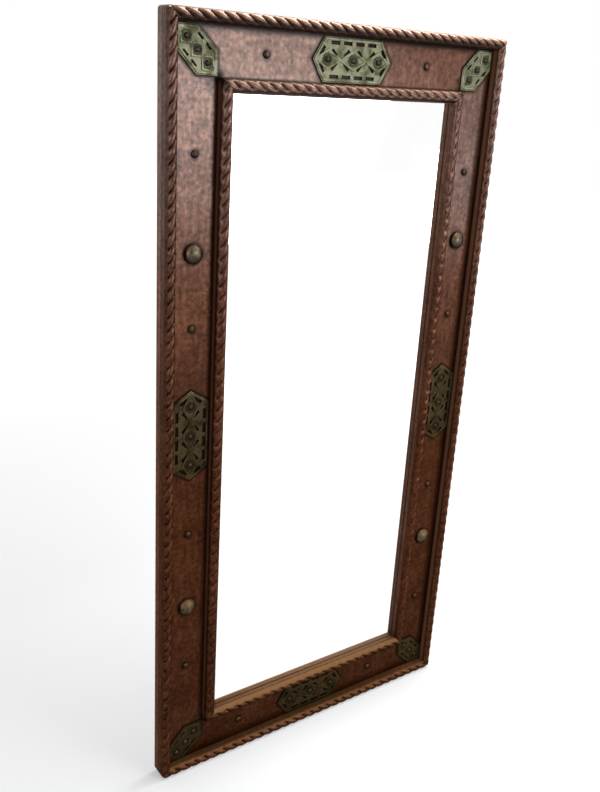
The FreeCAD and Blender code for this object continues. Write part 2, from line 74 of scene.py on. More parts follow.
class Term:
    """A value in a node tree, so that the rule of a finish or a shape reads as plain sums."""

    def __init__(self, socket):
        self.socket, self.tree = socket, socket.id_data

    def calc(self, operation, *others):
        inputs = dict(enumerate((self, *others)))
        return Term(add(self.tree, "ShaderNodeMath", inputs, operation=operation).outputs[0])

    def __add__(self, other):
        return self.calc("ADD", other)

    def __sub__(self, other):
        return self.calc("SUBTRACT", other)

    def __rsub__(self, other):
        return self.calc("MULTIPLY_ADD", -1.0, other)

    def __mul__(self, other):
        return self.calc("MULTIPLY", other)

    def __truediv__(self, other):
        return self.calc("DIVIDE", other)

    def most(self, other):
        return self.calc("MAXIMUM", other)

    def held(self):
        return self.most(0.0).calc("MINIMUM", 1.0)

    def part(self, axis):
        return Term(add(self.tree, "ShaderNodeSeparateXYZ", {0: self}).outputs[axis])


def wire(node, inputs):
    """Sets a node's sockets, by name or number, to values, terms, outputs, or the first outputs of nodes."""
    for key, value in inputs.items():
        if isinstance(value, bpy.types.Node):
            value = value.outputs[0]
        elif isinstance(value, Term):
            value = value.socket
        if isinstance(value, bpy.types.NodeSocket):
            node.id_data.links.new(value, node.inputs[key])
        else:
            node.inputs[key].default_value = value


def add(tree, kind, inputs=None, **settings):
    node = tree.nodes.new(kind)
    for name, value in settings.items():
        setattr(node, name, value)
    wire(node, inputs or {})
    return node


def feed(shader, **sockets):
    """Sets a shader's sockets, each by its name as a word of this script."""
    names = [word.replace("_", " ").title().replace("Ior", "IOR") for word in sockets]
    wire(shader, dict(zip(names, sockets.values())))


def surface(name, **sockets):
    """A material, its shader with some sockets set, and the object's own coordinates."""
    made = bpy.data.materials.new(name)
    made.use_nodes = True
    shader = made.node_tree.nodes["Principled BSDF"]
    feed(shader, **sockets)
    return made, shader, Term(add(made.node_tree, "ShaderNodeTexCoord").outputs["Object"])


def cloud(place, scale, detail=4.0, roughness=0.55, distortion=0.0):
    return Term(add(place.tree, "ShaderNodeTexNoise", {
        "Vector": place, "Scale": scale, "Detail": detail, "Roughness": roughness,
        "Distortion": distortion}).outputs["Fac"])


def stretched(place, scale):
    return Term(add(place.tree, "ShaderNodeMapping", {"Vector": place, "Scale": scale}).outputs["Vector"])


def ramp(factor, *stops):
    """Colours, or grey levels, at places along a factor."""
    node = add(factor.tree, "ShaderNodeValToRGB", {"Fac": factor})
    points = node.color_ramp.elements
    while len(points) < len(stops):
        points.new(0.5)
    for point, (place, colour) in zip(points, stops):
        point.position = place
        point.color = (*colour, 1.0) if isinstance(colour, tuple) else (colour, colour, colour, 1.0)
    return Term(node.outputs["Color"])


def bumped(shader, height, depth, strength=0.6):
    feed(shader, normal=add(height.tree, "ShaderNodeBump", {"Height": height, "Distance": depth,
                                                            "Strength": strength}))


def wood(name, grain, pale, dark):
    """Sawn wood with its grain along one axis, given as a stretch of the pattern."""
    made, shader, place = surface(name)
    along = stretched(place, grain)
    rings = cloud(along, 1.0, detail=5.0, roughness=0.6, distortion=0.8)
    fibre = cloud(along, 9.0, detail=3.0)
    tone = rings * 0.65 + fibre * 0.35
    feed(shader, base_color=ramp(tone, (0.32, dark), (0.62, pale)),
         roughness=ramp(fibre, (0.3, 0.85), (0.7, 0.6)))
    bumped(shader, tone, GRAIN_DEPTH)
    return made


def placed(name, data):
    """A new object in the scene."""
    item = bpy.data.objects.new(name, data)
    bpy.context.scene.collection.objects.link(item)
    return item


def link_piece(name, mesh, made, slot, node, body="frame", lift_scale=1.0):
    """Puts a finished mesh into the scene as a piece that rides on a body and stands for a node.

    How far each face looks up, or down, is kept with it, for the dust and painted top light on what looks up
    and the painted shade on what looks down.
    """
    mesh.materials.clear()
    mesh.materials.append(made)
    lift = mesh.attributes.new("lift", "FLOAT", "CORNER")
    lift.data.foreach_set("value", [lift_scale * normal.vector.z for normal in mesh.corner_normals])
    piece = placed(name, mesh)
    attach(piece, body)
    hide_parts(node)


def shells(faces):
    """Some faces, in groups that are joined by edges."""
    left = dict.fromkeys(faces)
    while left:
        stack, found = [left.popitem()[0]], []
        while stack:
            found.append(stack.pop())
            for other in [other for edge in found[-1].edges for other in edge.link_faces]:
                if other in left:
                    del left[other]
                    stack.append(other)
        yield found


def merged(node):
    """A copy of a node's mesh to work on, with its loose triangles joined."""
    bm = bmesh.new()
    bm.from_mesh(nodes[node].data)
    bmesh.ops.remove_doubles(bm, verts=bm.verts, dist=MERGE)
    return bm


def mesh_of(bm, name):
    """A mesh from a closed bmesh, with its faces pointing outwards, smooth but for its sharp edges."""
    bmesh.ops.recalc_face_normals(bm, faces=bm.faces)
    for shell in shells(bm.faces):
        if sum(face.calc_center_median().dot(face.normal) * face.calc_area() for face in shell) < 0:
            bmesh.ops.reverse_faces(bm, faces=shell)
    for face in bm.faces:
        face.smooth = True
    for edge in bm.edges:
        edge.smooth = edge.calc_face_angle(0.0) < SHARP
    mesh = bpy.data.meshes.new(name)
    bm.to_mesh(mesh)
    bm.free()
    return mesh


def sliced(bm, spot, normal, **options):
    """Cuts all that crosses a plane, and gives what lies on the cut."""
    whole = bm.verts[:] + bm.edges[:] + bm.faces[:]
    return bmesh.ops.bisect_plane(bm, geom=whole, dist=CUT_SLACK, plane_co=spot, plane_no=normal,
                                  **options)["geom_cut"]


def eased(point):
    """Moves a point with the corners of the frame, which handling has rounded off."""
    radius = TOP_ROUND if point.z > 0 else FOOT_ROUND
    wide, tall = half_width - radius, half_height - radius
    starts = (point.x, wide), (point.z, tall)
    across, up = (max(0.0, abs(place) - start) / radius for place, start in starts)
    if across and up:
        point.x = math.copysign(wide + radius * across * math.sqrt(1 - up * up / 2), point.x)
        point.z = math.copysign(tall + radius * up * math.sqrt(1 - across * across / 2), point.z)


def rounded(node, name, made, slot):
    """A copy of a node, cut finely near the corners of the frame and rounded there."""
    bm = merged(node)
    steps = [radius * k / CORNER_CUTS for radius in (TOP_ROUND, FOOT_ROUND)
             for k in range(1, CORNER_CUTS + 1)]
    for normal, half in ((Vector((1, 0, 0)), half_width), (Vector((0, 0, 1)), half_height)):
        for spot in [normal * end * (half - step) for step in steps for end in (1, -1)]:
            sliced(bm, spot, normal)
    for vert in bm.verts:
        eased(vert.co)
    link_piece(name, mesh_of(bm, name), made, slot, node)


stile_wood = wood("stile_softwood", UPRIGHT_GRAIN, PALE_WOOD, DARK_WOOD)
rail_wood = wood("rail_softwood", LEVEL_GRAIN, PALE_WOOD, DARK_WOOD)
for side in SIDES:
    upright = side in UPRIGHTS
    board = "%s_%s" % (side, "stile" if upright else "rail")
    rounded(board + "_core", board + "_board", stile_wood if upright else rail_wood, "core_wood")

# Copper face sheets: thin sheet laid over the boards and mitred at the corners, no longer quite flat,
# with grime and painted shade along the mouldings and round everything that is nailed to it, and a painted
# shadow under the top moulding.

SHEET_STEP = 0.0022
SHEET_DENT, SHEET_RIPPLE = 0.00022, 0.00005
DENT_SIZE, RIPPLE_SIZE = 0.045, 0.011
# How far the darkening reaches from what it lies against, grime with painted shade and under the top moulding
# mostly a painted shadow, and how black it is round the nails.
OUTER_SHADE_AND_GRIME = {"top": 0.011, "right": 0.0036, "bottom": 0.002, "left": 0.0036}
INNER_SHADE_AND_GRIME, PLAQUE_SHADE_AND_GRIME, NAIL_SHADE_AND_GRIME, CORNER_SHADE_AND_GRIME, GLASS_SHADOW = 0.0025, 0.0060, 0.0055, 0.016, 0.0016
NAIL_DARKNESS = 0.6
# Umber, brown and rose.
COPPER_TONES = ((0.023, 0.0070, 0.0025), (0.046, 0.0142, 0.0051), (0.080, 0.028, 0.0118))
WORN_COPPER, PATINA, EDGE_TINT = (0.11, 0.042, 0.025), (0.075, 0.030, 0.0155), (0.62, 0.53, 0.49, 1.0)
STREAKS, PIT_DEPTH = (170.0, 170.0, 16.0), 0.0005
# Painted shade by how far a face looks down, and where dust with a painted light from above begins and is
# full by how far it looks up.
GRIME_AND_SHADE, UNDERSIDE_SHADE = (0.0060, 0.0034, 0.0024), ((0.08, 0.0), (0.5, 0.72))
DUST_AND_TOP_LIGHT, DUST_LIGHT_FROM, DUST_LIGHT_FULL = (0.175, 0.088, 0.034), 0.12, 0.5
# Lacquer left at each height.  It sheds the dust with its painted top light, and where there is none the
# copper shows less wear.
LACQUER = ((-0.10, 0.03), (0.20, 0.26), (0.50, 1.0))
LACQUER_SHEDS, LOW_WEAR = 0.65, 0.4
# On the top sheet half of it is gone, from just right of the middle.
BARE_SHARE, BARE_FROM, BARE_FADE = 0.5, 0.01, 0.06
# How far dust with its painted top light, and patina, hide the metal, and how rough they are.
SKIN_HIDES, DULL = 0.85, (0.7, 0.7, 0.7)
TURN = {"top": 0.0, "right": 90.0, "bottom": 180.0, "left": -90.0}
FORWARD = Matrix.Rotation(math.pi / 2, 4, "X")
inner_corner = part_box("top_inner_rope")[1]


def side_frame(side):
    """A side's own axes: X along it, Y outward from its outer edge, Z forward from the wall."""
    turn = Matrix.Rotation(math.radians(TURN[side]), 4, "Y")
    return turn @ Matrix.Translation((0, 0, half_width if side in UPRIGHTS else half_height)) @ FORWARD


def side_length(side):
    return 2 * (half_height if side in UPRIGHTS else half_width)


def search_over(names):
    """A search tree over the meshes of some nodes."""
    points, faces = [], []
    for name in names:
        mesh, start = nodes[name].data, len(points)
        points += [v.co.copy() for v in mesh.vertices]
        faces += [[start + k for k in p.vertices] for p in mesh.polygons]
    return BVHTree.FromPolygons(points, faces)


def soft(share):
    """A share that starts and ends gently."""
    return share * share * (3 - 2 * share)


def near(search, point, reach):
    """How close a point lies to what a search tree holds: 1 touching, 0 a reach away."""
    gap = search.find_nearest(point, reach)[3]
    return 0.0 if gap is None else soft(1 - gap / reach)


def corner_shade_and_grime(point):
    """How black the copper is near the corners that the inner ropes make with the field: painted shade with
    some grime.
    """
    away = math.hypot(abs(point.x) - inner_corner.x, abs(point.z) - inner_corner.z)
    away *= 1 + noise.noise(point / RIPPLE_SIZE)
    return soft(max(0.0, 1 - away / CORNER_SHADE_AND_GRIME))


def attribute(shader, name):
    """What a piece says of itself, to its finish."""
    return Term(add(shader.id_data, "ShaderNodeAttribute", attribute_name=name).outputs["Fac"])


def mixed(factor, first, second, mode="MIX"):
    first, second = ((*c, 1.0) if isinstance(c, tuple) else c for c in (first, second))
    return Term(add(factor.tree, "ShaderNodeMix", {0: factor, 6: first, 7: second},
                    data_type="RGBA", blend_type=mode).outputs[2])


def ranged(value, low, high, first=0.0, last=1.0):
    """A value between two others, held there and set to another range."""
    ends = {"From Min": low, "From Max": high, "To Min": first, "To Max": last}
    return Term(add(value.tree, "ShaderNodeMapRange", {"Value": value, **ends}).outputs["Result"])


def lacquer(place):
    """How much of the old lacquer is left: most of it high up, where no hand or cloth comes."""
    low, high = LACQUER[0][0], LACQUER[-1][0]
    stops = [((z - low) / (high - low), amount) for z, amount in LACQUER]
    return ramp(ranged(place.part("Z"), low, high), *stops)


def copper(name, tones, roughness, glass=None, gloss=1.0, dust_and_top_light=0.9, rubbed=WORN_COPPER, metal=0.95,
           patina=PATINA):
    """Aged copper in three tones, darkened with grime and painted shade, worn or under patina where the piece
    says so.

    Painted shade darkens what faces down, dust with a painted light from above lies on what faces up, and
    lacquer high up.  A piece that meets the glass, at a distance along Y, is darkened there by a painted
    shadow of the rebate.
    """
    made, shader, place = surface(name, coat_roughness=0.25, specular_tint=EDGE_TINT, specular_ior_level=0.15)
    grime, wear, bare, shelter, lift = (attribute(shader, mark) for mark in (
        "grime", "wear", "bare", "shelter", "lift"))
    patches = cloud(place, 13.0, detail=6.0, roughness=0.6, distortion=0.4)
    mottle = cloud(place, 150.0, detail=5.0, roughness=0.65)
    specks = cloud(place, 420.0, detail=2.0)
    streaks = cloud(stretched(place, STREAKS), 1.0, detail=3.0)
    tone = patches * 0.3 + mottle * 0.5 + streaks * 0.2
    if glass is not None:
        # A painted shadow: the strip of the piece just in front of the glass is darkened, where the rebate's
        # shade falls.
        grime = ranged(place.part("Y"), glass - GLASS_SHADOW, glass - GLASS_SHADOW / 2)
    # Faces that look down are darkened: painted shade.
    grime = (grime.most(ramp(lift * -1.0, *UNDERSIDE_SHADE)) * ramp(mottle, (0.25, 0.8), (0.6, 1.0))).held()
    film = lacquer(place) * (1.0 - bare)
    worn = (wear * ramp(mottle, (0.4, 0.0), (0.6, 1.0))).held() * (film * (1 - LOW_WEAR) + LOW_WEAR)
    colour = mixed(worn, ramp(tone, *zip((0.38, 0.5, 0.62), tones)), rubbed)
    # Near black where the piece is marked dark: grime together with painted shade.
    colour = mixed(grime, mixed(shelter, colour, patina), GRIME_AND_SHADE)
    # Faces that look up turn tan: dust, and with it a painted light from above.
    dust_and_light = ramp(lift, (DUST_LIGHT_FROM, 0.0), (DUST_LIGHT_FULL, dust_and_top_light)) * ramp(mottle, (0.3, 0.75), (0.6, 1.0))
    for cover in (film * LACQUER_SHEDS, shelter, grime):
        dust_and_light = dust_and_light * (1.0 - cover)
    skin = dust_and_light.most(shelter)
    dull = grime.most(skin)
    shine = ramp(mottle, (0.35, roughness[1]), (0.65, roughness[0]))
    feed(shader, base_color=mixed(dust_and_light, colour, DUST_AND_TOP_LIGHT), metallic=skin * (-SKIN_HIDES * metal) + metal,
         roughness=mixed(dull, shine, DULL),
         coat_weight=film * (1.0 - dull) * ramp(tone, (0.40, 0.5 * gloss), (0.60, gloss)))
    bumped(shader, specks * 0.3 + mottle, PIT_DEPTH, strength=0.5)
    return made


sheet_copper = copper("clad_copper", COPPER_TONES, (0.30, 0.46))
corner_names = ["%s_%s_corner_plaque" % (high, wide) for high in ("top", "bottom") for wide in UPRIGHTS]
rope_search = search_over(["%s_%s_rope" % (side, ring) for side in SIDES for ring in ("outer", "inner")])
plaque_search = search_over([side + "_plaque" for side in SIDES] + corner_names)
nail_search = search_over(["small_copper_nails", "brass_bosses"])


def face_sheet(side):
    """A mitred sheet: a fine dented grid in front, a plain back, and a rim between them."""
    low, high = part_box(side + "_face_sheet")
    span, broad = side_length(side), min(high.x - low.x, high.z - low.z)
    front, back = -low.y, -high.y
    place = side_frame(side)
    columns, rows = round(span / SHEET_STEP), round(broad / SHEET_STEP)
    bm = bmesh.new()
    grime, bare = (bm.verts.layers.float.new(label) for label in ("grime", "bare"))
    grids = []
    for forward in (front, back):
        grid = []
        for j in range(rows + 1):
            inward = broad * j / rows
            reach = OUTER_SHADE_AND_GRIME[side] if inward < broad / 2 else INNER_SHADE_AND_GRIME
            for i in range(columns + 1):
                along = (2 * i / columns - 1) * (span / 2 - inward)
                point = place @ Vector((along, -inward, forward))
                eased(point)
                vert = bm.verts.new(point)
                grid.append(vert)
                if side == "top":
                    vert[bare] = BARE_SHARE * min(1.0, max(0.0, (along - BARE_FROM) / BARE_FADE))
                if forward == front:
                    # Darkened near the mouldings, plaques, nails and inner corners: painted shade with some
                    # grime, and under the top moulding a painted shadow.
                    vert[grime] = max(near(rope_search, point, reach), corner_shade_and_grime(point),
                                      near(plaque_search, point, PLAQUE_SHADE_AND_GRIME),
                                      NAIL_DARKNESS * near(nail_search, point, NAIL_SHADE_AND_GRIME))
                    dent = SHEET_DENT * noise.noise(point / DENT_SIZE)
                    dent += SHEET_RIPPLE * noise.noise(point / RIPPLE_SIZE)
                    vert.co.y += SHEET_DENT + SHEET_RIPPLE + dent
        grids.append(grid)
    wide = columns + 1
    for grid in grids:
        for j in range(rows):
            for i in range(columns):
                k = j * wide + i
                bm.faces.new((grid[k], grid[k + 1], grid[k + wide + 1], grid[k + wide]))
    rim = (list(range(wide)) + [j * wide + columns for j in range(1, rows + 1)]
           + [rows * wide + i for i in range(columns - 1, -1, -1)]
           + [j * wide for j in range(rows - 1, 0, -1)])
    for k, start in enumerate(rim):
        end = rim[(k + 1) % len(rim)]
        bm.faces.new((grids[0][start], grids[0][end], grids[1][end], grids[1][start]))
    link_piece(side + "_copper_sheet", mesh_of(bm, side + "_sheet"), sheet_copper, "copper_sheet",
               side + "_face_sheet")


for side in SIDES:
    face_sheet(side)

# Edge bands and reveal linings: strips of the same copper, round the outside of the boards and down the
# glass side of the inner mouldings.  The linings are dull, and darkened where they meet the glass by a
# painted shadow of the rebate.

BAND_TONES = ((0.048, 0.0166, 0.0072), (0.096, 0.0346, 0.0151), (0.150, 0.058, 0.029))
LINING_TONES = ((0.045, 0.0175, 0.0085), (0.075, 0.030, 0.0150), (0.11, 0.047, 0.025))
band_copper = copper("band_copper", BAND_TONES, (0.34, 0.5), gloss=1.1)
lining_copper = copper("lining_copper", LINING_TONES, (0.45, 0.6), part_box("mirror_glass")[0].y, gloss=0.15,
                       dust_and_top_light=0.55, metal=0.35)
for side in SIDES:
    rounded(side + "_edge_band", side + "_copper_band", band_copper, "copper_sheet")
    rounded(side + "_reveal_lining", side + "_copper_lining", lining_copper, "copper_sheet")

# Rope-twist mouldings: rounded bars in copper worked over wood, laid on the sheet and mitred at the corners.
# A slanted groove to each pitch is struck across the crest, and dies out on the flanks.

ROPE_PITCH, ROPE_LAY = 0.0186, math.radians(46)
STEPS_PER_PITCH, STEPS_AROUND = 20, 32
ROPE_KINDS = {
    # depth of the grooves, their width as a share of the pitch, swell of the strands, how far out from the
    # crest the grooves lie and how far they spread, as shares of half the width, side with the darkened foot
    "outer": {"Groove Depth": 0.0021, "Groove Share": 0.075, "Swell": 0.0012, "Lean": 0.05, "Spread": 0.95,
              "Foot Side": -1.0},
    "inner": {"Groove Depth": 0.0018, "Groove Share": 0.075, "Swell": 0.0013, "Lean": 0.2, "Spread": 0.70,
              "Foot Side": 1.0},
}
# Over what share of half the width the grooves die out, and how far they wander and differ.
FADE_SPAN, WANDER, UNEVEN, SWAY_SCALE = 0.28, 0.32, 1.4, 28.0
STRAND_DENT, FLANK_DENT, DENT_SCALE = 0.0006, 0.3, 140.0
# Heights of the foot's darkening, painted shade with some grime, and of the patina, as shares of the straight
# flank, and how sharply that ends.
FOOT_TOP, SHELTER_TOP, SHELTER_EDGE = 0.32, 1.2, 3.0
GROOVE_SHADE_AND_GRIME, ROPE_WEAR = 0.9, 0.6
# How strongly a bar takes, beside a level piece, the dust and painted top light of what faces up and the
# painted shade of what faces down.
# The top outer bar is dark over nearly all its lower half, a painted shade; the bottom outer bar takes little
# dust and top light.
LIFT_SCALE = {"top_outer_rope": 3.0, "bottom_outer_rope": 0.34}
UPRIGHT_LIFT_SCALE, LEVEL_LIFT_SCALE = 0.2, 1.0
ROPE_SEED, SEED_STEP = 5.0, 3.7
ROPE_SHINE, SIENNA_PAINTED_LIGHT = (0.38, 0.53), (0.14, 0.060, 0.033)
rope_copper = copper("rope_copper", COPPER_TONES, ROPE_SHINE, gloss=0.8)
# The right side's bars get a lighter patina: a lit copy of the rope copper, painted light.
sienna_lit_copper = copper("sienna_lit_rope_copper", COPPER_TONES, ROPE_SHINE, gloss=0.8, patina=SIENNA_PAINTED_LIGHT)


def group(name, floats, **others):
    """A geometry tree for a shape in a finish, and its named inputs."""
    tree = bpy.data.node_groups.new(name, "GeometryNodeTree")
    tree.interface.new_socket("Shape", in_out="OUTPUT", socket_type="NodeSocketGeometry")
    for label, kind in {**others, "Finish": "Material", **dict.fromkeys(floats, "Float")}.items():
        tree.interface.new_socket(label, in_out="INPUT", socket_type="NodeSocket" + kind)
    return tree, add(tree, "NodeGroupInput").outputs


def dressed(shape, given):
    """Ends a tree: the shape made real, in its finish."""
    tree = shape.id_data
    real = add(tree, "GeometryNodeRealizeInstances", {"Geometry": shape})
    done = add(tree, "GeometryNodeSetMaterial", {"Geometry": real, "Material": given["Finish"]})
    add(tree, "NodeGroupOutput", {"Shape": done})
    return tree


def plain_mesh(holder):
    """The mesh that an object's modifiers make."""
    bpy.context.view_layer.update()
    return bpy.data.meshes.new_from_object(holder.evaluated_get(bpy.context.evaluated_depsgraph_get()))


def grown(name, tree, inputs, base=None):
    """The plain mesh that a geometry tree makes from its inputs."""
    holder = placed(name, base or bpy.data.meshes.new(name))
    modifier = holder.modifiers.new("shape", "NODES")
    modifier.node_group = tree
    for item in tree.interface.items_tree:
        if item.in_out == "INPUT" and item.name in inputs:
            modifier[item.identifier] = inputs[item.name]
    mesh = plain_mesh(holder)
    holder.modifiers.remove(modifier)
    bpy.data.objects.remove(holder)
    return mesh


def rope_rule():
    """A tube swept along X, pushed into a round-topped bar with slanted grooves.

    Across goes from -1 on the glass side to 1 on the outer side, and up is 1 at the crest.
    """
    tree, given = group("twisted_bar", [
        "Length", "Width", "Height", "Pitch", "Slope", "Start", "Groove Depth", "Groove Share", "Swell",
        "Lean", "Spread", "Foot Side", "Skin Side", "Foot Shade And Grime", "Seed"], Steps="Int", Around="Int")

    def term(name):
        return Term(given[name])

    def drift(place, scale, detail):
        """Smooth chance about 0, other for each bar."""
        chance = add(tree, "ShaderNodeTexNoise", {"Vector": place, "W": given["Seed"], "Scale": scale,
                                                  "Detail": detail}, noise_dimensions="4D")
        return Term(chance.outputs["Fac"]) - 0.5

    ends = [add(tree, "ShaderNodeCombineXYZ", {"X": term("Length") * half}) for half in (-0.5, 0.5)]
    line = add(tree, "GeometryNodeCurvePrimitiveLine", {"Start": ends[0], "End": ends[1]})
    fine = add(tree, "GeometryNodeResampleCurve", {"Curve": line, "Count": given["Steps"]})
    ring = add(tree, "GeometryNodeCurvePrimitiveCircle", {"Resolution": given["Around"], "Radius": 1.0})
    tube = add(tree, "GeometryNodeCurveToMesh", {"Curve": fine, "Profile Curve": ring, "Fill Caps": True})
    spot = Term(add(tree, "GeometryNodeInputPosition").outputs[0])
    x, y, z = (spot.part(axis) for axis in "XYZ")
    angle = z.calc("ARCTAN2", y)
    across, up = angle.calc("COSINE"), angle.calc("SINE")
    reach = across.calc("ABSOLUTE").most(up.calc("ABSOLUTE"))
    above = up.calc("GREATER_THAN", -0.001)
    below = 1.0 - above
    radius = term("Width") * 0.5
    spring = term("Height") - radius
    sway = drift(add(tree, "ShaderNodeCombineXYZ", {"X": x}), SWAY_SCALE, 1.0)
    turns = (x + term("Slope") * radius * across) / given["Pitch"] + given["Start"] + sway * WANDER
    gap = turns - turns.calc("ROUND")
    bite = gap / given["Groove Share"]
    groove = (bite * bite * -1.0).calc("EXPONENT")
    trough = (gap * math.tau).calc("COSINE") * 0.5 + 0.5
    fade = ((given["Spread"] - (across - given["Lean"]).calc("ABSOLUTE")) / FADE_SPAN).held() * above
    depth = term("Groove Depth") * (sway * UNEVEN + 1.0)
    flaw = (drift(spot, DENT_SCALE, 2.0) * STRAND_DENT).calc("ABSOLUTE") * (above + below * FLANK_DENT)
    cut = (depth * groove + term("Swell") * trough) * fade + flaw
    along_y = radius * across * (above + below / reach) - cut * across
    along_z = spring + up * (radius * above + spring * below / reach) - cut * up * above
    hollow = (groove * fade).held()

    def low_on(side, top):
        """How far a point of one flank lies below a share of that flank's height."""
        flank = (across * given[side]).calc("GREATER_THAN", 0.0) * given["Foot Shade And Grime"]
        return (1.0 - along_z / (spring * top)) * flank

    # The grooves and the foot of the field-side flank are darkened: painted shade with some grime.
    marks = {"grime": hollow * GROOVE_SHADE_AND_GRIME + low_on("Foot Side", FOOT_TOP).held(),
             "wear": (1.0 - hollow) * above * up * ROPE_WEAR,
             "shelter": low_on("Skin Side", SHELTER_TOP) * SHELTER_EDGE}
    for label, value in marks.items():
        tube = add(tree, "GeometryNodeStoreNamedAttribute",
                   {"Geometry": tube, "Name": label, "Value": value.held()},
                   data_type="FLOAT", domain="POINT")
    goal = add(tree, "ShaderNodeCombineXYZ", {"X": x, "Y": along_y, "Z": along_z})
    return dressed(add(tree, "GeometryNodeSetPosition", {"Geometry": tube, "Position": goal}), given)


def mitred(mesh, place, inset, span):
    """Sets a bar in its side of the frame, cut at 45 degrees through the corners of the outer edge."""
    bm = bmesh.new()
    bm.from_mesh(mesh)
    bmesh.ops.translate(bm, vec=inset, verts=bm.verts)
    for end in (1, -1):
        cut = sliced(bm, (end * span / 2, 0, 0), (end, -1, 0), clear_outer=True)
        bmesh.ops.edgeloop_fill(bm, edges=[e for e in cut if isinstance(e, bmesh.types.BMEdge)])
    bm.transform(place)
    return bm


rope_tree = rope_rule()


def rope(side, kind):
    """One bar.  The right side's bars have a lighter sienna patina on the glass side, a painted light, and
    the bottom ones have feet that are not darkened.
    """
    node = "%s_%s_rope" % (side, kind)
    low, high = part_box(node)
    axis, half, lift_scale = 2, half_height, LEVEL_LIFT_SCALE
    if side in UPRIGHTS:
        axis, half, lift_scale = 0, half_width, UPRIGHT_LIFT_SCALE
    width, span = high[axis] - low[axis], side_length(side)
    outer_edge = half - max(abs(low[axis]), abs(high[axis]))
    count = math.floor(span / ROPE_PITCH)
    made = sienna_lit_copper if side == "right" else rope_copper
    sizes = dict(ROPE_KINDS[kind], Length=span, Width=width, Height=high.y - low.y, Pitch=ROPE_PITCH,
                 Slope=1 / math.tan(ROPE_LAY), Start=(count - 1) / 2, Steps=count * STEPS_PER_PITCH,
                 Around=STEPS_AROUND, Seed=ROPE_SEED + SEED_STEP * SIDES.index(side), Finish=made)
    sizes["Skin Side"] = -1.0 if side == "right" else sizes["Foot Side"]
    sizes["Foot Shade And Grime"] = 0.0 if side == "bottom" else 1.0
    bm = mitred(grown(node, rope_tree, sizes), side_frame(side), (0, -outer_edge - width / 2, -high.y), span)
    grime = bm.verts.layers.float["grime"]
    for vert in bm.verts:
        eased(vert.co)
        # The inner bars are darkened near the inner corners too: painted shade with some grime.
        if kind == "inner":
            vert[grime] = max(vert[grime], corner_shade_and_grime(vert.co))
    link_piece("%s_%s_twist" % (side, kind), mesh_of(bm, node), made, "copper_rope", node,
               lift_scale=LIFT_SCALE.get(node, lift_scale))


for side in SIDES:
    for kind in ROPE_KINDS:
        rope(side, kind)

# Pierced plaques: brass plate cut through with slots, with raised straps that cross between the nails
# and a raised rim, green with age and rubbed bright on its edges.  Three nails hold each on the sheet.

PLAQUE_BEVEL, SLOT_WALLS, SLOT_SPREAD = 0.0006, 4, 0.0008
STEEP, FOLD, FLAT = 0.5, 0.5, math.radians(1)
STRAP_WIDTH, STRAP_RISE, RIM_INSET = 0.0040, 0.0011, 0.0032
# Across and up, as shares of the strap's width and rise, and how far its corners may reach out.
STRAP_SECTION = ((-0.5, -0.3), (-0.4, 0.7), (-0.15, 1.0), (0.15, 1.0), (0.4, 0.7), (0.5, -0.3))
LEAST_LEAN = 0.35
NAIL_RING, RING_SIDES, RING_SHADE = 0.0068, 14, 0.6
GROUND_GRIME, GROUND_WEAR, STRAP_WEAR = 0.10, 0.5, 0.6
SIDE_TIP, SIDE_SHOULDER, SIDE_HALF = 0.071, 0.052, 0.0305
PLAQUE_NAIL_STEP, STRAP_SWING = 0.046, 0.0125
CORNER_HALF, CORNER_CUT = 0.0305, 0.031
CORNER_NAIL_STEP, CORNER_SWING = 0.022, 0.0105
SAGE, OLIVE, WORN_BRASS = (0.090, 0.097, 0.051), (0.033, 0.032, 0.0145), (0.135, 0.125, 0.090)
LOW_SHADE_TINT, BRASS_EDGE = (0.33, 0.19, 0.085), (0.62, 0.58, 0.45, 1.0)
RUBBED_SHINE, GRIMY_SHINE = (0.26, 0.26, 0.26), (0.75, 0.75, 0.75)
LACQUER_COAT, LEAST_COAT, CRUST_DEPTH = 0.10, 0.02, 0.0004


def plaque_finish():
    """Old brass, sage with olive patches, browner and darker low down as painted shade, rubbed where the
    plate says so, and darkened there with grime and painted shade.
    """
    made, shader, place = surface("patinated_brass", metallic=0.8, coat_roughness=0.4,
                                  specular_tint=BRASS_EDGE, specular_ior_level=0.2)
    patches = cloud(place, 60.0, detail=5.0, roughness=0.6, distortion=0.5)
    mottle = cloud(place, 280.0)
    worn = (attribute(shader, "wear") * ramp(patches, (0.42, 0.0), (0.56, 1.0))).held()
    grime = (attribute(shader, "grime") * ramp(mottle, (0.3, 0.75), (0.6, 1.0))).held()
    film = lacquer(place)
    colour = mixed(worn, ramp(patches * 0.6 + mottle * 0.4, (0.38, OLIVE), (0.56, SAGE)), WORN_BRASS)
    # Towards the bottom, where the lacquer ramp is low, the colour is multiplied darker and browner: painted
    # shade.
    colour = mixed(1.0 - film, colour, LOW_SHADE_TINT, "MULTIPLY")
    shine = mixed(worn, ramp(mottle, (0.35, 0.40), (0.65, 0.55)), RUBBED_SHINE)
    feed(shader, base_color=mixed(grime, colour, GRIME_AND_SHADE), roughness=mixed(grime, shine, GRIMY_SHINE),
         coat_weight=film * LACQUER_COAT + LEAST_COAT)
    bumped(shader, mottle, CRUST_DEPTH, strength=0.5)
    return made


plaque_brass = plaque_finish()


def crossing(before, point, after):
    """The way across a route at a point of it, and how nearly the route goes straight on there."""
    enter, leave = (point - before).normalized(), (after - point).normalized()
    bisector = (enter + leave).normalized()
    return Vector((-bisector.y, bisector.x)), bisector.dot(enter)


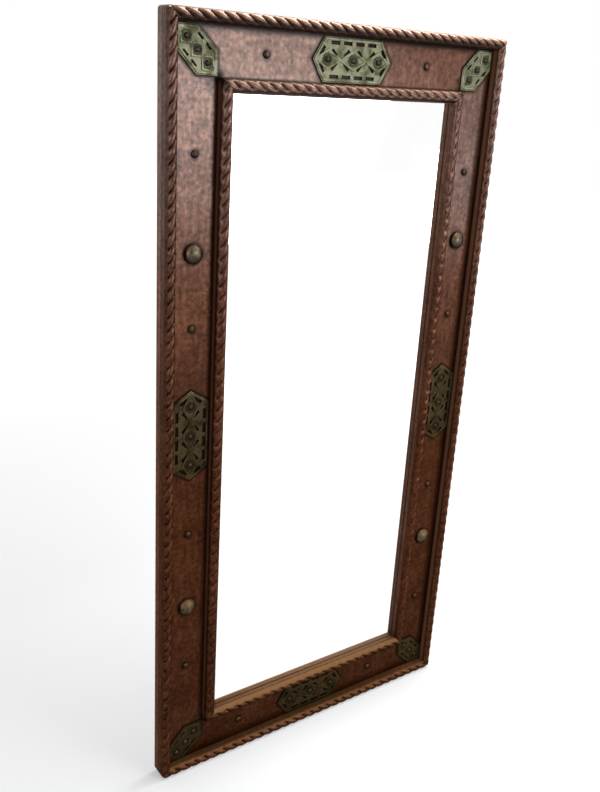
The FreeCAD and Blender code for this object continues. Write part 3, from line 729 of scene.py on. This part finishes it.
def strap(bm, route, closed, marks):
    """A raised strap with a rounded top along a route of points on the plate, sunk a little into it.

    Marks are the loop layers for wear and for grime with painted shade, the wear of the strap's top, and its
    painted shade.
    """
    wear, grime, top_wear, ring_shade = marks
    count, rings, crest, faces = len(route), [], set(), []
    for k, point in enumerate(route):
        before = route[k - 1] if closed or k else 2 * point - route[k + 1]
        after = route[(k + 1) % count] if closed or k < count - 1 else 2 * point - route[k - 1]
        across, lean = crossing(before, point, after)
        across /= max(LEAST_LEAN, lean)
        rings.append([bm.verts.new((*(point + across * (out * STRAP_WIDTH)), rise * STRAP_RISE))
                      for out, rise in STRAP_SECTION])
        crest |= {vert for vert, (_, rise) in zip(rings[-1], STRAP_SECTION) if rise == 1.0}
    for k in range(count if closed else count - 1):
        first, second = rings[k], rings[(k + 1) % count]
        for j in range(len(first)):
            n = (j + 1) % len(first)
            faces.append(bm.faces.new((first[j], second[j], second[n], first[n])))
    if not closed:
        faces += [bm.faces.new(rings[0]), bm.faces.new(rings[-1])]
    for face in faces:
        for loop in face.loops:
            loop[wear], loop[grime] = top_wear if loop.vert in crest else 0.0, ring_shade


def inside(corners, point):
    """Whether a point lies inside a convex outline."""
    return all((corner - corners[k - 1]).cross(point - corner) > 0 for k, corner in enumerate(corners))


def widen(walls, spread):
    """Moves the corners of a straight slot outwards."""
    verts = list(dict.fromkeys(vert for wall in walls for vert in wall.verts))
    middle = sum((vert.co for vert in verts), Vector()) / len(verts)
    longest = max((edge for wall in walls for edge in wall.edges), key=lambda edge: edge.calc_length())
    along = (longest.verts[0].co - longest.verts[1].co).xy.normalized()
    for vert in verts:
        offset = (vert.co - middle).xy
        for axis in (along, Vector((-along.y, along.x))):
            vert.co.xy += axis * math.copysign(spread, offset.dot(axis))


def bevelled(bm, edges, width, profile):
    """Takes the edge off, and gives the new faces."""
    return bmesh.ops.bevel(bm, geom=edges, offset=width, segments=2, profile=profile, affect="EDGES",
                           clamp_overlap=True)["faces"]


def around(count):
    """Angles evenly round a circle."""
    return [math.tau * k / count for k in range(count)]


def plaque(node, turn, rim, step, swing, tip):
    """A plate with bevelled edges, a rim strap, two straps that weave past the nails, and rings round those.

    It is made on axes of its own: X along it, Y across it, Z forward, from the middle of its front.
    """
    low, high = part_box(node)
    middle = (low + high) / 2
    place = (Matrix.Translation((middle.x, low.y, middle.z))
             @ Matrix.Rotation(math.radians(turn), 4, "Y") @ FORWARD)
    bm = merged(node)
    bmesh.ops.dissolve_limit(bm, angle_limit=FLAT, verts=bm.verts, edges=bm.edges)
    bm.transform(place.inverted())
    wear, grime = map(bm.loops.layers.float.new, ("wear", "grime"))
    bm.normal_update()
    walls = [f for f in bm.faces if abs(f.normal.z) < STEEP and inside(rim, f.calc_center_median().xy)]
    for hole in shells(walls):
        if len(hole) == SLOT_WALLS:
            widen(hole, SLOT_SPREAD)
    sharp = [e for e in bm.edges if e.calc_face_angle(0.0) > FOLD
             and all(v.co.z > -PLAQUE_BEVEL and not inside(rim, v.co.xy) for v in e.verts)]
    chamfers = set(bevelled(bm, sharp, PLAQUE_BEVEL, 0.6))
    bm.normal_update()
    for face in bm.faces:
        marks = GROUND_WEAR, GROUND_GRIME
        if face in chamfers or abs(face.normal.z) < STEEP:
            # Slot walls inside the rim are darkened fully, a painted shade in the holes; outside the rim the
            # edges are rubbed bright.
            marks = (0.0, 1.0) if inside(rim, face.calc_center_median().xy) else (1.0, 0.0)
        for loop in face.loops:
            loop[wear], loop[grime] = marks
    # The straps go on a fresh copy, where new faces keep their order from run to run.
    plate, bm = bm, bm.copy()
    plate.free()
    wear, grime = map(bm.loops.layers.float.get, ("wear", "grime"))
    # The rings round the nails are darkened: painted shade.
    bright, dark = (wear, grime, STRAP_WEAR, 0.0), (wear, grime, 0.0, RING_SHADE)
    strap(bm, rim, True, bright)
    for hand in (1, -1):
        weave = [(k * step, hand * swing * (1 if k % 2 else -1)) for k in (-1, 0, 1)]
        strap(bm, [Vector(p) for p in ((-tip, 0.0), *weave, (tip, 0.0))], False, bright)
    for k in (-1, 0, 1):
        ring = [(k * step + NAIL_RING * math.cos(a), NAIL_RING * math.sin(a)) for a in around(RING_SIDES)]
        strap(bm, [Vector(p) for p in ring], True, dark)
    bm.transform(place)
    link_piece(node + "_plate", mesh_of(bm, node), plaque_brass, "plaque_brass", node)


def rim_of(tip, shoulder, half):
    """The rim's route, inside the six-sided outline of a plate with two points."""
    corners = [Vector(p) for p in ((tip, 0), (shoulder, half), (-shoulder, half),
                                   (-tip, 0), (-shoulder, -half), (shoulder, -half))]
    route = []
    for before, corner, after in zip(corners[-1:] + corners, corners, corners[1:] + corners[:1]):
        across, lean = crossing(before, corner, after)
        route.append(corner + across * RIM_INSET / lean)
    return route


side_rim = rim_of(SIDE_TIP, SIDE_SHOULDER, SIDE_HALF)
corner_tip, corner_shoulder = CORNER_HALF * math.sqrt(2), CORNER_CUT / math.sqrt(2)
corner_rim = rim_of(corner_tip, corner_shoulder, corner_tip - corner_shoulder)
for side in SIDES:
    plaque(side + "_plaque", TURN[side], side_rim, PLAQUE_NAIL_STEP, STRAP_SWING, SIDE_TIP - 2 * RIM_INSET)
for name in corner_names:
    turn = -45.0 if ("top" in name) == ("right" in name) else 45.0
    plaque(name, turn, corner_rim, CORNER_NAIL_STEP, CORNER_SWING, corner_tip - 2 * RIM_INSET)

# Nails and bosses: domed heads beaten by hand, so that no two sit or shine quite alike.  Small copper ones
# hold the sheet, others the plaques, and the four large bosses are brass.

HEAD_SEGMENTS, HEAD_RINGS = 24, 7
EDGE_RISE, FOOT_SHARE = 0.12, 0.96
HEAD_WEAR, HEAD_SHADE_AND_GRIME, HEAD_SHADE_TOP = 0.4, 0.6, 0.22
TILT, SPREAD = math.radians(4), 0.05
NAIL_TONES = ((0.014, 0.0075, 0.005), (0.030, 0.0145, 0.0095), (0.055, 0.026, 0.017))
PLAQUE_NAIL_TONES = ((0.015, 0.0092, 0.0052), (0.030, 0.0190, 0.0110), (0.050, 0.0330, 0.0200))
BOSS_TONES = ((0.022, 0.0150, 0.0085), (0.050, 0.0360, 0.0200), (0.090, 0.068, 0.040))
RUBBED_NAIL, RUBBED_PLAQUE_NAIL = (0.055, 0.028, 0.019), (0.045, 0.029, 0.018)
RUBBED_BOSS = (0.115, 0.090, 0.056)


def solids(node):
    """The lowest and highest corners of each separate solid of a node."""
    bm = merged(node)
    boxes = []
    for shell in shells(bm.faces):
        found = [vert.co for face in shell for vert in face.verts]
        boxes.append(tuple(Vector((pick(p[k] for p in found) for k in range(3))) for pick in (min, max)))
    bm.free()
    return sorted(boxes, key=lambda b: (round(b[0].z, 4), round(b[0].x, 4)))


def domed(name, diameter, rise):
    """A turned head about Z: a flat underside, a small rolled edge and a round cap."""
    half, quarter = diameter / 2, [math.pi / 2 * k / HEAD_RINGS for k in range(HEAD_RINGS)]
    cap = [(half * math.cos(a), rise * (EDGE_RISE + (1 - EDGE_RISE) * math.sin(a))) for a in quarter]
    bm = bmesh.new()
    wear, grime = (bm.verts.layers.float.new(label) for label in ("wear", "grime"))
    rings = []
    for radius, height in [(0.0, 0.0), (half * FOOT_SHARE, 0.0)] + cap + [(0.0, rise)]:
        ring = [bm.verts.new((radius * math.cos(a), radius * math.sin(a), height))
                for a in around(HEAD_SEGMENTS if radius else 1)]
        for vert in ring:
            vert[wear] = HEAD_WEAR * (height / rise) ** 2
            # The foot of each head is darkened where it meets what it holds: painted contact shade with some
            # grime.
            vert[grime] = HEAD_SHADE_AND_GRIME * max(0.0, 1 - height / (HEAD_SHADE_TOP * rise))
        rings.append(ring)
    for first, second in zip(rings, rings[1:]):
        for k in range(HEAD_SEGMENTS):
            n = (k + 1) % HEAD_SEGMENTS
            loop = [ring[j % len(ring)] for ring, j in ((first, k), (first, n), (second, n), (second, k))]
            bm.faces.new(list(dict.fromkeys(loop)))
    return mesh_of(bm, name)


def scatter_rule():
    """Sets a head at each point, turned, tilted and sized a little differently each time."""
    tree, given = group("set_heads", ["Tilt", "Spread"], Places="Geometry", Head="Object", Seed="Int")
    head = add(tree, "GeometryNodeObjectInfo", {"Object": given["Head"]})
    seed, least = given["Seed"], 1.0 - Term(given["Spread"])
    ends = []
    for hand, turn in ((-1.0, 0.0), (1.0, math.tau)):
        tilt = Term(given["Tilt"]) * hand
        ends.append(add(tree, "ShaderNodeCombineXYZ", {"X": tilt, "Y": tilt, "Z": turn}))
    lean = add(tree, "FunctionNodeRandomValue", {0: ends[0], 1: ends[1], "Seed": seed},
               data_type="FLOAT_VECTOR")
    size = add(tree, "FunctionNodeRandomValue", {2: least, 3: 1.0, "Seed": seed}, data_type="FLOAT")
    sat = add(tree, "GeometryNodeInstanceOnPoints", {
        "Points": given["Places"], "Instance": head.outputs["Geometry"], "Rotation": lean,
        "Scale": size.outputs[1]})
    return dressed(sat, given)


scatter_tree = scatter_rule()


def heads(name, node, head, made, slot, seed, face, place):
    """Heads at the middles of a node's solids, with their undersides at a distance along Y."""
    seat, flat = placed(name + "_head", head), place.inverted()
    points = bpy.data.meshes.new(name + "_places")
    points.from_pydata([flat @ Vector(((low.x + high.x) / 2, face, (low.z + high.z) / 2))
                        for low, high in solids(node)], [], [])
    mesh = grown(name, scatter_tree, {"Tilt": TILT, "Spread": SPREAD, "Head": seat, "Seed": seed,
                                      "Finish": made}, points)
    mesh.transform(place)
    bpy.data.objects.remove(seat)
    link_piece(name, mesh, made, slot, node)


field, plaque_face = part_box("top_face_sheet")[0].y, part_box("top_plaque")[0].y
nail_copper = copper("nail_copper", NAIL_TONES, (0.32, 0.45), gloss=0.3, dust_and_top_light=0.3, rubbed=RUBBED_NAIL)
plaque_nail_copper = copper("plaque_nail_copper", PLAQUE_NAIL_TONES, (0.42, 0.56), gloss=0.2, dust_and_top_light=0.1,
                            rubbed=RUBBED_PLAQUE_NAIL)
boss_brass = copper("boss_brass", BOSS_TONES, (0.26, 0.38), dust_and_top_light=0.5, rubbed=RUBBED_BOSS)
for name, node, made, slot, seed, face in (
        ("copper_nails", "small_copper_nails", nail_copper, "nail_copper", 3, field),
        ("plaque_nail_heads", "plaque_nails", plaque_nail_copper, "plaque_nail_copper", 5, plaque_face),
        ("brass_boss_heads", "brass_bosses", boss_brass, "boss_brass", 7, field)):
    low, high = solids(node)[0]
    heads(name, node, domed(node + "_head", high.x - low.x, face - low.y), made, slot, seed, face, FORWARD)

# Mirror: one pane of silvered glass, a little hazy from cleaning.
# It lies in the rebate behind the inner mouldings and their linings.

WIPED, CLEAR_SILVER, HAZY_SILVER = (6.0, 1.0, 2.5), (0.955, 0.965, 0.96), (0.98, 0.985, 0.98)


def finish_node(name, made):
    """Gives a node of the frame its finish."""
    slots = nodes[name].data.materials
    slots.clear()
    slots.append(made)


silver, shader, place = surface("silvered_glass", metallic=1.0)
haze = cloud(stretched(place, WIPED), 1.0, detail=3.0)
feed(shader, base_color=ramp(haze, (0.3, CLEAR_SILVER), (0.7, HAZY_SILVER)),
     roughness=ramp(haze, (0.35, 0.012), (0.7, 0.03)))
finish_node("mirror_glass", silver)

# Back: wooden fillets that press the glass forward, and a thin plywood panel over them, held by headless
# steel pins along its edge.

PALE_PLY, DARK_PLY = (0.40, 0.25, 0.13), (0.25, 0.14, 0.065)
PIN_STEEL, PIN_ROUGHNESS = (0.36, 0.35, 0.34), 0.4
SCUFF_TONE, SCUFF_ROUGHNESS, SCUFF_DEPTH = 0.55, 0.2, 0.0002
finish_node("back_panel", wood("panel_plywood", UPRIGHT_GRAIN, PALE_PLY, DARK_PLY))
fillet_wood = wood("fillet_wood", UPRIGHT_GRAIN, PALE_WOOD, DARK_WOOD)
for side in SIDES:
    finish_node(side + "_glass_fillet", fillet_wood)


def steel(name, base, roughness):
    """Plated steel, scuffed dull in places."""
    made, shader, place = surface(name, metallic=1.0)
    scuff = cloud(place, 300.0, detail=5.0)
    feed(shader, base_color=ramp(scuff, (0.35, tuple(SCUFF_TONE * c for c in base)), (0.6, base)),
         roughness=ramp(scuff, (0.35, roughness + SCUFF_ROUGHNESS), (0.65, roughness)))
    bumped(shader, scuff, SCUFF_DEPTH, strength=0.3)
    return made


finish_node("panel_pins", steel("pin_steel", PIN_STEEL, PIN_ROUGHNESS))

# Hangers: plated steel straps rolled round the bars of three-sided wire rings, each held to its stile by
# two slotted round-head screws.  The rings turn in the rolls.

STRAP_EDGE, STRAP_FOLD = 0.0002, 1.0
PLATE_THICK, PLATE_LENGTH, PLATE_ROUND, ROUND_STEPS = 0.0012, 0.046, 0.004, 6
ROLL_INNER, ROLL_OUTER, ROLL_STEPS, ROLL_TURN = 0.00135, 0.0025, 28, math.radians(300)
RING_WIRE, RING_REACH, RING_NOSE, RING_PLAY = 0.0026, 0.022, 0.008, 0.001
BAR_BEND, NOSE_BEND, BEND_STEPS, WIRE_SIDES = 0.0016, 0.0024, 6, 16
SLOT_LENGTH, SLOT_WIDTH, SLOT_DEPTH = 0.02, 0.0011, 0.0009
SCREW_SEED = 11
BACKWARD = Matrix.Rotation(-math.pi / 2, 4, "X")
hanger_steel = steel("hanger_steel", (0.55, 0.53, 0.49), 0.26)


def bar_between(bm, first, last):
    """A closed bar between two outlines that have as many points each."""
    ends = [[bm.verts.new(point) for point in outline] for outline in (first, last)]
    for k in range(len(first)):
        n = (k + 1) % len(first)
        bm.faces.new((ends[0][k], ends[0][n], ends[1][n], ends[1][k]))
    for end in ends:
        bm.faces.new(end)


def hanger_strap(hand, axis):
    """A plate with two round corners, and a roll that springs from its upper end."""
    node = hand + "_hanger_strap"
    low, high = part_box(node)
    half, back = (high.x - low.x) / 2, low.y - axis.y
    flat = [(-half, 0.0)]
    for centre, start in ((PLATE_ROUND - half, 180), (half - PLATE_ROUND, 270)):
        for k in range(ROUND_STEPS + 1):
            angle = math.radians(start + 90 * k / ROUND_STEPS)
            flat.append((centre + PLATE_ROUND * math.cos(angle),
                         PLATE_ROUND - PLATE_LENGTH + PLATE_ROUND * math.sin(angle)))
    flat.append((half, 0.0))
    angles = [math.pi - ROLL_TURN * k / ROLL_STEPS for k in range(ROLL_STEPS + 1)]
    roll = [(ROLL_OUTER * math.cos(a), ROLL_OUTER * math.sin(a)) for a in angles]
    roll += [(ROLL_INNER * math.cos(a), ROLL_INNER * math.sin(a)) for a in reversed(angles)]
    bm = bmesh.new()
    bar_between(bm, *([(x, y, z) for x, z in flat] for y in (back, back + PLATE_THICK)))
    bar_between(bm, *([(x, y, z) for y, z in roll] for x in (-half, half)))
    bevelled(bm, [e for e in bm.edges if e.calc_face_angle(0.0) > STRAP_FOLD], STRAP_EDGE, 0.5)
    bm.transform(Matrix.Translation(axis))
    link_piece(hand + "_strap", mesh_of(bm, node), hanger_steel, "hanger_steel", node)


def wire_rule():
    """Round wire along a closed route, bent at each corner to the radius kept there."""
    tree, given = group("bent_wire", ["Wire"], Route="Geometry")
    route = add(tree, "GeometryNodeMeshToCurve", {0: given["Route"]})
    bend = add(tree, "GeometryNodeInputNamedAttribute", {"Name": "bend"}, data_type="FLOAT")
    bent = add(tree, "GeometryNodeFilletCurve", {"Curve": route, "Radius": bend, "Count": BEND_STEPS,
                                                 "Limit Radius": True}, mode="POLY")
    section = add(tree, "GeometryNodeCurvePrimitiveCircle", {"Resolution": WIRE_SIDES,
                                                             "Radius": Term(given["Wire"]) * 0.5})
    return dressed(add(tree, "GeometryNodeCurveToMesh", {"Curve": bent, "Profile Curve": section}), given)


wire_tree = wire_rule()


def hanger_ring(hand, axis):
    """The bar lies in the roll; two legs close in on a short nose."""
    node = hand + "_hanger_ring"
    low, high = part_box(hand + "_hanger_strap")
    corner, nose = (high.x - low.x) / 2 + RING_PLAY + RING_WIRE / 2, RING_NOSE / 2
    route = bpy.data.meshes.new("ring_route")
    route.from_pydata([(corner, 0, 0), (nose, 0, -RING_REACH), (-nose, 0, -RING_REACH), (-corner, 0, 0)],
                      [(0, 1), (1, 2), (2, 3), (3, 0)], [])
    bends = route.attributes.new("bend", "FLOAT", "POINT")
    bends.data.foreach_set("value", (BAR_BEND, NOSE_BEND, NOSE_BEND, BAR_BEND))
    bm = bmesh.new()
    bm.from_mesh(grown(node, wire_tree, {"Wire": RING_WIRE, "Finish": hanger_steel}, route))
    bm.transform(Matrix.Translation(axis))
    link_piece(hand + "_ring_wire", mesh_of(bm, node), hanger_steel, "hanger_steel", node, hand + "_ring")


def slotted(mesh, depth):
    """A screw head with a straight slot cut across its top."""
    head, slot = placed("head", mesh), placed("slot", bpy.data.meshes.new("slot"))
    bm = bmesh.new()
    size = Matrix.Diagonal((SLOT_LENGTH, SLOT_WIDTH, 2 * SLOT_DEPTH, 1.0))
    bmesh.ops.create_cube(bm, size=1.0, matrix=Matrix.Translation((0, 0, depth)) @ size)
    bm.to_mesh(slot.data)
    bm.free()
    cut = head.modifiers.new("slot", "BOOLEAN")
    cut.operation, cut.solver, cut.object = "DIFFERENCE", "EXACT", slot
    done = plain_mesh(head)
    for item in (head, slot):
        bpy.data.objects.remove(item)
    return done


for hand in UPRIGHTS:
    low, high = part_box(hand + "_hanger_ring")
    axis = Vector(((low.x + high.x) / 2, (low.y + high.y) / 2, high.z - RING_WIRE / 2))
    hanger_strap(hand, axis)
    hanger_ring(hand, axis)
strap_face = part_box("left_hanger_strap")[0].y + PLATE_THICK
screw_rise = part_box("hanger_screws")[1].y - strap_face
low, high = solids("hanger_screws")[0]
heads("screw_heads", "hanger_screws", slotted(domed("screw_head", high.x - low.x, screw_rise), screw_rise),
      hanger_steel, "hanger_steel", SCREW_SEED, strap_face, BACKWARD)

# Studio: a plain pale floor under the frame, soft lamps, and white all round for the camera and for what
# the mirror and the metal reflect.

FLOOR_SIZE, FLOOR_TONE, FLOOR_ROUGHNESS = 16.0, (0.5, 0.5, 0.5, 1.0), 0.9
# The floor's glow at two distances from the middle.
NEAR_GLOW, FAR_GLOW = (0.9, 0.33), (3.0, 0.9)
FILL, WHITE = (0.45, 0.45, 0.45), (1.0, 1.0, 1.0)
DAYLIGHT = (0.975, 0.99, 1.01)
LAMPS = (
    # name, place, aim, roll, width, height, power
    ("window", (1.26, -2.48, 0.32), (0.0, 0.0, 0.35), -14.0, 1.36, 1.05, 32.0),
    ("doorway", (2.80, -2.40, -0.06), (0.25, 0.0, 0.40), 0.0, 0.7, 0.5, 7.5),
    ("side", (-2.0, -1.6, 0.7), (0.1, 0.0, 0.1), 0.0, 1.2, 1.2, 16.0),
    ("overhead", (0.45, 0.0, 1.15), (0.45, 0.0, 0.0), 0.0, 0.9, 0.5, 28.0),
    ("ceiling", (0.9, -1.1, 1.35), (0.0, 0.0, -0.5), 0.0, 1.6, 1.2, 17.0),
)
CAMERA_PLACE = (-0.8429, -1.0913, 0.5194)
CAMERA_FORWARD, CAMERA_UP = (0.5575, 0.7586, -0.3371), (0.1494, 0.3077, 0.9397)
FOCAL_PIXELS, FRAME_HEIGHT, SENSOR = 892.7, 792, 36.0

scene = bpy.context.scene
scene.view_settings.view_transform = "Standard"


def shown(tree):
    """1 for the rays that show the surroundings: from the camera, and off metal or through glass."""
    path = add(tree, "ShaderNodeLightPath").outputs
    return Term(path["Is Camera Ray"]).most(path["Is Glossy Ray"]).most(path["Is Transmission Ray"])


scene.world = scene.world or bpy.data.worlds.new("studio")
scene.world.use_nodes = True
tree = scene.world.node_tree
wire(tree.nodes["Background"], {"Color": mixed(shown(tree), FILL, WHITE)})

floor_mesh = bpy.data.meshes.new("floor")
floor_mesh.from_pydata([(x * FLOOR_SIZE / 2, y * FLOOR_SIZE / 2, cad_box[0].z)
                        for x, y in ((-1, -1), (1, -1), (1, 1), (-1, 1))], [], [(0, 1, 2, 3)])
floor = placed("floor", floor_mesh)
made, shader, place = surface("pale_floor", base_color=FLOOR_TONE, roughness=FLOOR_ROUGHNESS)
floor_mesh.materials.append(made)
tree = made.node_tree
away = Term(add(tree, "ShaderNodeVectorMath", {0: place}, operation="LENGTH").outputs["Value"])
level = ranged(away, NEAR_GLOW[0], FAR_GLOW[0], NEAR_GLOW[1], FAR_GLOW[1])
glow = add(tree, "ShaderNodeEmission", {"Color": (*WHITE, 1.0), "Strength": level})
both = add(tree, "ShaderNodeAddShader", {0: shader, 1: glow})
pick = add(tree, "ShaderNodeMixShader", {0: shown(tree), 1: shader, 2: both})
wire(tree.nodes["Material Output"], {"Surface": pick})

for name, spot, aim, roll, wide, high, power in LAMPS:
    lamp = bpy.data.lights.new(name, "AREA")
    lamp.shape = "RECTANGLE"
    lamp.size, lamp.size_y, lamp.energy, lamp.color = wide, high, power, DAYLIGHT
    holder = placed(name, lamp)
    holder.location = spot
    turn = (Vector(aim) - Vector(spot)).to_track_quat("-Z", "Y") @ Quaternion((0, 0, 1), math.radians(roll))
    holder.rotation_euler = turn.to_euler()

lens = bpy.data.cameras.new("camera")
lens.sensor_fit = "VERTICAL"
lens.sensor_height = SENSOR
lens.lens = FOCAL_PIXELS / FRAME_HEIGHT * SENSOR
camera = placed("camera", lens)
back, up = -Vector(CAMERA_FORWARD).normalized(), Vector(CAMERA_UP).normalized()
axes = Matrix((up.cross(back), up, back)).transposed()
camera.matrix_world = Matrix.Translation(CAMERA_PLACE) @ axes.to_4x4()
scene.camera = camera
